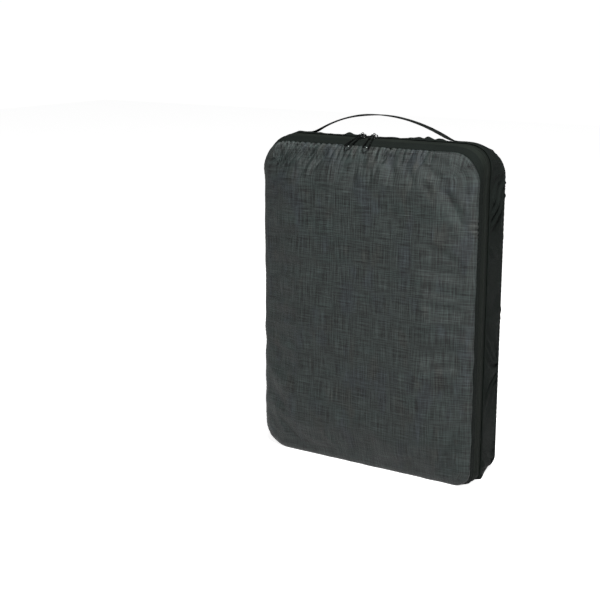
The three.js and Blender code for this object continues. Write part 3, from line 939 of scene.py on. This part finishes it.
# ---------------------------------------------------------------- stitches
def stitches(name, paths, radius=0.2 * MM, sides=6):
    """Rows of thread: each path is a short stitch, thickest in its middle."""
    points, faces = [], []
    for path in paths:
        path = np.asarray(path, float)
        tangent = unit(np.gradient(path, axis=0))
        guide = (0, 1, 0) if abs(tangent[0][1]) < 0.7 else (1, 0, 0)
        thick = radius * (0.45 + 0.55 * np.sin(np.linspace(0.15, math.pi - 0.15, len(path))))[:, None, None]
        faces += capped_faces(len(path), sides, sum(len(p) for p in points))
        points.append(rings(path, tangent, guide, (thick, thick), sides).reshape(-1, 3))
    every = np.concatenate(points)
    return turned_out(add_mesh(name, every, faces, [THREAD], weave=every))


def band_stitches(name, y, relief):
    """A row of stitches round a gusset strip at depth y."""
    step, pitch, length = 1.2 * MM, 3.2 * MM, 2.5 * MM
    arched = np.array([-0.12, 0.08, 0.16, 0.16, 0.08, -0.12]) * MM
    y = np.full(len(arched), y)
    paths = []
    for start in np.arange(9 * MM, outline(step)[2][-1] - 10 * MM, pitch):
        run = start + np.linspace(0, length, len(arched))
        at, out = along_outline(run, step)
        paths.append(band_point(at, out, y, relief(run, y) + arched))
    return stitches(name, paths)


front_stitching = band_stitches("front_stitching", STRIP_END - STITCH_INSET, front_strip_relief)
rear_stitching = band_stitches("rear_stitching", REAR_START + STITCH_INSET, rear_strip_relief)

# ---------------------------------------------------------------- handle
strap_low, strap_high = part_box("handle_webbing")
STRAP_Y = (strap_low.y + strap_high.y) / 2
STRAP_HALF = (strap_high.y - strap_low.y) / 2
STRAP_THICK = 1.2 * MM
SPAN = 84 * MM  # half the span between the places where the webbing leaves the gusset
SEAT = TOP + 0.3 * MM
RISE = 22 * MM
ARCH = (SPAN**2 + RISE**2) / (2 * RISE)
LEAN = -5 * MM  # the arch's highest place lies this far left of the middle
BEND_IN, BEND_OUT = 67 * MM, 79 * MM  # the strap turns between these, beside its sewn ends
STRAP_END = 98 * MM
LEFT_TWIST, RIGHT_TWIST = -12, 5  # degrees the webbing turns about its length, on each side of the middle


def strap_line(x):
    """Height of the strap's middle layer over x, flat beyond the span, with the change rounded."""
    x = np.asarray(x, float)
    shifted = np.where(x > 0, 1.05, 1.0) * x - LEAN * np.clip(1 - (x / SPAN) ** 2, 0, 1)
    arch = SEAT + RISE - ARCH + np.sqrt(ARCH**2 - np.clip(shifted, -SPAN * 1.3, SPAN * 1.3) ** 2)
    soft = 1.6 * MM
    flat = SEAT - 1.0 * MM
    return flat + soft * np.logaddexp(0, (arch - flat) / soft) + STRAP_THICK / 2


def strap(name, x0, x1):
    """Webbing from x0 to x1, on the arch or sewn down."""
    count = int(round(abs(x1 - x0) / (0.8 * MM))) + 1
    x = np.linspace(x0, x1, count)
    z = strap_line(x)
    whole = np.linspace(-STRAP_END, STRAP_END, 2001)
    slope = np.interp(x, whole, np.gradient(strap_line(whole), 2 * STRAP_END / 2000))
    tangent = unit(np.stack([np.ones_like(x), np.zeros_like(x), slope], axis=1))
    normal = np.stack([-tangent[:, 2], np.zeros_like(x), tangent[:, 0]], axis=1)
    free = 1 - smoothstep(70 * MM, 84 * MM, np.abs(x))
    left_turn = LEFT_TWIST * np.exp(-(((x + 22 * MM) / (20 * MM)) ** 2))
    twist = np.radians(left_turn + RIGHT_TWIST * smoothstep(30 * MM, 65 * MM, x)) * free
    u = circle(28)
    across = STRAP_HALF * squared(np.cos(u), 0.45)
    up = STRAP_THICK / 2 * squared(np.sin(u), 0.6)
    y_local = across[None, :] * (1 + 0.02 * ripple(x, x * 0, 9 * MM, 121))[:, None]
    z_local = np.broadcast_to(up, y_local.shape)
    cos, sin = np.cos(twist)[:, None], np.sin(twist)[:, None]
    centre = np.stack([x, np.full(count, STRAP_Y), z], axis=1)
    points = centre[:, None] + normal[:, None] * (y_local * sin + z_local * cos)[..., None]
    points[..., 1] += y_local * cos - z_local * sin
    sewn = smoothstep(73 * MM, 86 * MM, np.abs(x))[:, None]
    points[..., 2] += RIDGE * (sewn * swell(points[..., 1]) + (1 - sewn) * swell(STRAP_Y))
    run = np.concatenate([[0], np.cumsum(np.hypot(np.diff(x), np.diff(z)))])
    run = np.broadcast_to(run[:, None], y_local.shape)
    weave = np.stack([y_local + STRAP_HALF, run, 0 * y_local], axis=-1)
    faces = capped_faces(count, len(u))
    return turned_out(add_mesh(name, points, faces, [WEBBING], weave=weave.reshape(-1, 3)))


handle_strap = strap("handle_strap", -BEND_IN, BEND_IN)
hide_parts("handle_webbing")
handle_root_left = strap("handle_root_left", -STRAP_END, -BEND_IN)
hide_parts("handle_end_left")
handle_root_right = strap("handle_root_right", BEND_IN, STRAP_END)
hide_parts("handle_end_right")


def on_strap(x, across, rise):
    """A place on the sewn strap's upper face."""
    y = STRAP_Y + across
    z = strap_line(np.asarray(x)) + STRAP_THICK / 2 + RIDGE * swell(np.asarray(y)) + rise
    return np.stack([np.broadcast_to(x, z.shape), np.broadcast_to(y, z.shape), z], axis=-1)


def box_stitch(name, side):
    """The box and cross sewn through the strap's end."""
    near, far, half = 85.5 * MM, 96.5 * MM, 2.7 * MM
    corners = [(near, -half), (far, -half), (far, half), (near, half), (near, -half)]
    lines = list(zip(corners, corners[1:])) + [((near, -half), (far, half)), ((near, half), (far, -half))]
    paths = []
    for (xa, ya), (xb, yb) in lines:
        length = math.hypot(xb - xa, yb - ya)
        count = max(1, int(round(length / (2.2 * MM))))
        for i in range(count):
            t = (i + np.linspace(0.1, 0.9, 5)) / count
            x = side * (xa + (xb - xa) * t)
            paths.append(on_strap(x, ya + (yb - ya) * t, np.array([-0.12, 0.06, 0.12, 0.06, -0.12]) * MM))
    return stitches(name, paths, 0.17 * MM)


box_stitch_left = box_stitch("box_stitch_left", -1)
box_stitch_right = box_stitch("box_stitch_right", 1)


# ---------------------------------------------------------------- sliders, links and pulls
def slab(name, outline_xy, low, high):
    """A flat plate, from its outline seen from above."""
    n = len(outline_xy)
    points = [(x, y, low) for x, y in outline_xy] + [(x, y, high) for x, y in outline_xy]
    faces = [list(range(n)), [n + i for i in range(n)][::-1]]
    faces += [[i, (i + 1) % n, n + (i + 1) % n, n + i] for i in range(n)]
    return turned_out(add_mesh(name, points, faces, [METAL]))


def merged(name, first, *others):
    """One closed mesh from overlapping ones, with its edges rounded."""
    for other in others:
        modifier = first.modifiers.new("join", "BOOLEAN")
        modifier.operation = "UNION"
        modifier.solver = "EXACT"
        modifier.object = other
        applied(first)
        bpy.data.objects.remove(other)
    bevel = first.modifiers.new("bevel", "BEVEL")
    bevel.width = 0.28 * MM
    bevel.segments = 3
    bevel.limit_method = "ANGLE"
    bevel.angle_limit = math.radians(40)
    applied(first)
    first.name = name
    first.data.polygons.foreach_set("use_smooth", np.full(len(first.data.polygons), True))
    first.data.set_sharp_from_angle(angle=math.radians(35))
    return first


def slider_body(name, node, toward):
    """Top plate with shoulders on the side where the two sliders meet, post, and bottom plate."""
    low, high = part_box(node)
    x0, y0, top = (low.x + high.x) / 2, (low.y + high.y) / 2, high.z
    half_length, half_width = (high.x - low.x) / 2, (high.y - low.y) / 2

    def plate_outline(width, length):
        shape = [(-1.0, 0.50), (-0.86, 0.68), (-0.3, 0.74), (0.1, 0.92)]
        shape += [(0.42, 1.0), (0.74, 0.98), (0.93, 0.78), (1.0, 0.42)]
        upper = [(x0 + toward * length * u, y0 + width * v) for u, v in shape]
        lower = [(x0 + toward * length * u, y0 - width * v) for u, v in shape[::-1]]
        return upper + lower

    top_plate = slab(name + "_top", plate_outline(half_width, half_length), top - 1.2 * MM, top)
    under = slab(name + "_under", plate_outline(3.5 * MM, half_length * 0.94), low.z, low.z + 1.1 * MM)
    corners = [(-1, -1), (1, -1), (1, 1), (-1, 1)]
    post = [(x0 + a * 3.2 * MM, y0 + b * 0.5 * MM) for a, b in corners]
    obj = merged(name, top_plate, under, slab(name + "_post", post, low.z + 0.5 * MM, top - 0.6 * MM))
    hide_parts(node)
    return obj


def rounded_path(corners, radius, count=7):
    """An open path through corners with each inner one rounded, as (a, b) pairs."""
    path = [np.array(corners[0], float)]
    for before, corner, after in zip(corners, corners[1:], corners[2:]):
        before, corner, after = (np.array(p, float) for p in (before, corner, after))
        into = (before - corner) / np.linalg.norm(before - corner)
        away = (after - corner) / np.linalg.norm(after - corner)
        for t in np.linspace(0, 1, count):
            path.append(corner + radius * (into * (1 - t) ** 2 + away * t**2))
    path.append(np.array(corners[-1], float))
    return np.array(path)


def denser(path):
    """A path with a point added in the middle of every step."""
    return np.concatenate([np.linspace(p, q, 3)[:-1] for p, q in zip(path, path[1:])] + [path[-1:]])


def slider_bridge(name, node):
    low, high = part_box(node)
    a, b = low.x + 0.55 * MM, high.x - 0.55 * MM
    y, foot, top = (low.y + high.y) / 2, low.z - 0.5 * MM, high.z - 0.45 * MM
    shape = rounded_path([(a, foot), (a + 0.2 * MM, top), (b - 0.2 * MM, top), (b, foot)], 1.2 * MM)
    dense = denser(shape)
    path = np.stack([dense[:, 0], np.full(len(dense), y), dense[:, 1]], axis=1)
    obj = tube(name, path, (0.45 * MM, 0.95 * MM), METAL, 16, closed=False)
    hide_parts(node)
    return obj


def stadium(near, far, near_radius, far_radius, count=14):
    """A closed loop round two circles on one line, as (along, across) pairs."""
    lean = math.acos((near_radius - far_radius) / (far - near))
    a = np.linspace(lean, 2 * math.pi - lean, count)
    b = np.linspace(-lean, lean, count)
    first = np.stack([near + near_radius * np.cos(a), near_radius * np.sin(a)], axis=1)
    second = np.stack([far + far_radius * np.cos(b), far_radius * np.sin(b)], axis=1)
    side = np.linspace(first[-1], second[0], 12)[1:-1]
    back = np.linspace(second[-1], first[0], 12)[1:-1]
    return np.concatenate([first, side, second, back])


def pull_link(name, node):
    low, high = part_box(node)
    middle, wire = (low.z + high.z) / 2, 0.4 * MM
    radius = (high.z - low.z) / 2 - wire
    loop = stadium(low.y + wire + radius, high.y - wire - radius, radius, radius)
    path = np.stack([np.full(len(loop), (low.x + high.x) / 2), loop[:, 0], middle + loop[:, 1]], axis=1)
    obj = tube(name, path, (wire, wire), METAL, 12, flat_axis=(1, 0, 0))
    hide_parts(node)
    return obj


PULL_NEAR, PULL_FAR, PULL_TO_FAR = 2.0 * MM, 3.3 * MM, 21.5 * MM  # end radii, and the length between them
PULL_WIRE, PULL_DIP = 0.72 * MM, math.radians(25.5)
SKEWS = {"left": math.radians(13), "right": math.radians(-8)}


def pull_loop(name, node, x, skew):
    """A tapered wire loop, turned aside by skew and dipped towards its far end."""
    loop = stadium(0, PULL_TO_FAR, PULL_NEAR, PULL_FAR, 20)
    along, across = -loop[:, 0], loop[:, 1]
    cos, sin = math.cos(-skew), math.sin(-skew)
    px = across * cos - along * sin
    py = across * sin + along * cos - PULL_NEAR
    y, z = ZIP_Y - 1.9 * MM + py * math.cos(PULL_DIP), BAR_Z + py * math.sin(PULL_DIP)
    flat = (0, -math.sin(PULL_DIP), math.cos(PULL_DIP))
    path = np.stack([x + px, y, z], axis=1)
    obj = tube(name, path, (PULL_WIRE, PULL_WIRE), METAL, 14, flat_axis=flat)
    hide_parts(node)
    return obj


BAR_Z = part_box("slider_left_bridge")[1].z - 0.45 * MM
metal_pieces = []
for side, toward in (("left", 1), ("right", -1)):
    link_low, link_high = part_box(f"pull_link_{side}")
    link_x = (link_low.x + link_high.x) / 2
    metal_pieces += [
        (slider_body(f"slider_{side}_plates", f"slider_{side}_body", toward), f"slider_{side}"),
        (slider_bridge(f"slider_{side}_arch", f"slider_{side}_bridge"), f"slider_{side}"),
        (pull_link(f"link_{side}_ring", f"pull_link_{side}"), f"link_{side}"),
        (pull_loop(f"pull_{side}_loop", f"pull_loop_{side}", link_x, SKEWS[side]), f"pull_{side}"),
    ]


def zip_stop(name, node):
    """A folded metal staple over both coils."""
    low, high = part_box(node)
    x, y = (low.x + high.x) / 2, (low.y + high.y) / 2
    half = (high.y - low.y) / 2 - 0.5 * MM
    low_z, high_z = low.z + 0.5 * MM, high.z - 0.5 * MM
    left = [(-half + 0.8 * MM, low_z), (-half, low_z), (-half, high_z)]
    shape = rounded_path(left + [(-a, b) for a, b in left[::-1]], 0.6 * MM)
    dense = denser(shape)
    path = np.stack([np.full(len(dense), x), y + dense[:, 0], dense[:, 1]], axis=1)
    obj = tube(name, path, (0.45 * MM, 1.7 * MM), METAL, 16, closed=False, flat_axis=(1, 0, 0))
    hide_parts(node)
    return obj


stops = [zip_stop(f"staple_{side}", f"zip_stop_{side}") for side in ("left", "right")]

# ---------------------------------------------------------------- what each piece rides on
for piece, body, slot in [
    (front_cloth, "lid", "shell_fabric"),
    (back_cloth, "case", "shell_fabric"),
    (front_strip, "lid", "trim_fabric"),
    (rear_strip, "case", "trim_fabric"),
    (base_strip, "case", "trim_fabric"),
    (front_tape, "lid", "zip_tape"),
    (rear_tape, "case", "zip_tape"),
    (front_coil, "lid", "zip_coil"),
    (rear_coil, "case", "zip_coil"),
    (front_binding, "lid", "trim_fabric"),
    (back_binding, "case", "trim_fabric"),
    (base_binding_left, "case", "trim_fabric"),
    (base_binding_right, "case", "trim_fabric"),
    (end_tab_left, "case", "trim_fabric"),
    (end_tab_right, "case", "trim_fabric"),
    (front_stitching, "lid", "trim_fabric"),
    (rear_stitching, "case", "trim_fabric"),
    (handle_strap, "handle", "webbing"),
    (box_stitch_left, "case", "webbing"),
    (box_stitch_right, "case", "webbing"),
    *[(piece, body, "slider_metal") for piece, body in metal_pieces],
    *[(piece, "case", "zip_coil") for piece in stops],
]:
    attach(piece, body)
for piece, side in ((handle_root_left, -1), (handle_root_right, 1)):
    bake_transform(piece)

around = outline(2 * MM)[2][-1]


# ---------------------------------------------------------------- floor and light
FLOOR_GLOW = 0.91  # makes the floor as white as what is behind it


def floor():
    """A wide white floor under the case."""
    size, count = 4.0, 3
    xs = np.linspace(-size, size, count)
    x, y = np.meshgrid(xs, xs, indexing="ij")
    points = np.stack([x, y, np.zeros_like(x)], axis=-1)
    m = Material("floor_paper", Roughness=0.9, Specular_IOR_Level=0.0, Base_Color=(0.5, 0.5, 0.5, 1))
    m.put(m.shader.inputs["Emission Color"], (1, 1, 1, 1))
    m.put(m.shader.inputs["Emission Strength"], FLOOR_GLOW)
    obj = add_mesh("floor", points, grid_faces(count, count).tolist(), [m.material])
    obj.visible_diffuse = False  # its bounce would wash out the shade under the case


def softbox(name, location, target, size, power):
    data = bpy.data.lights.new(name, "AREA")
    data.shape = "RECTANGLE"
    data.size, data.size_y = size
    data.energy = power
    obj = bpy.data.objects.new(name, data)
    bpy.context.collection.objects.link(obj)
    obj.location = location
    obj.rotation_euler = (Vector(target) - Vector(location)).to_track_quat("-Z", "Y").to_euler()


def studio_world(seen, lighting):
    """White behind the object, and a dimmer even light on it."""
    world = bpy.data.worlds.new("studio")
    world.use_nodes = True
    nodes, links = world.node_tree.nodes, world.node_tree.links
    nodes["Background"].inputs["Color"].default_value = (1, 1, 1, 1)
    path = nodes.new("ShaderNodeLightPath")
    strength = nodes.new("ShaderNodeMapRange")
    strength.inputs["To Min"].default_value = lighting
    strength.inputs["To Max"].default_value = seen
    links.new(path.outputs["Is Camera Ray"], strength.inputs["Value"])
    links.new(strength.outputs["Result"], nodes["Background"].inputs["Strength"])
    return world


floor()
softbox("key", location=(0.85, -1.15, 1.65), target=(0, 0, 0.2), size=(0.35, 0.35), power=80)
softbox("top", location=(0.35, -0.55, 1.25), target=(0, 0, 0.25), size=(0.4, 0.3), power=11)
bpy.context.scene.world = studio_world(seen=1.02, lighting=0.10)
bpy.context.scene.view_settings.view_transform = "Standard"
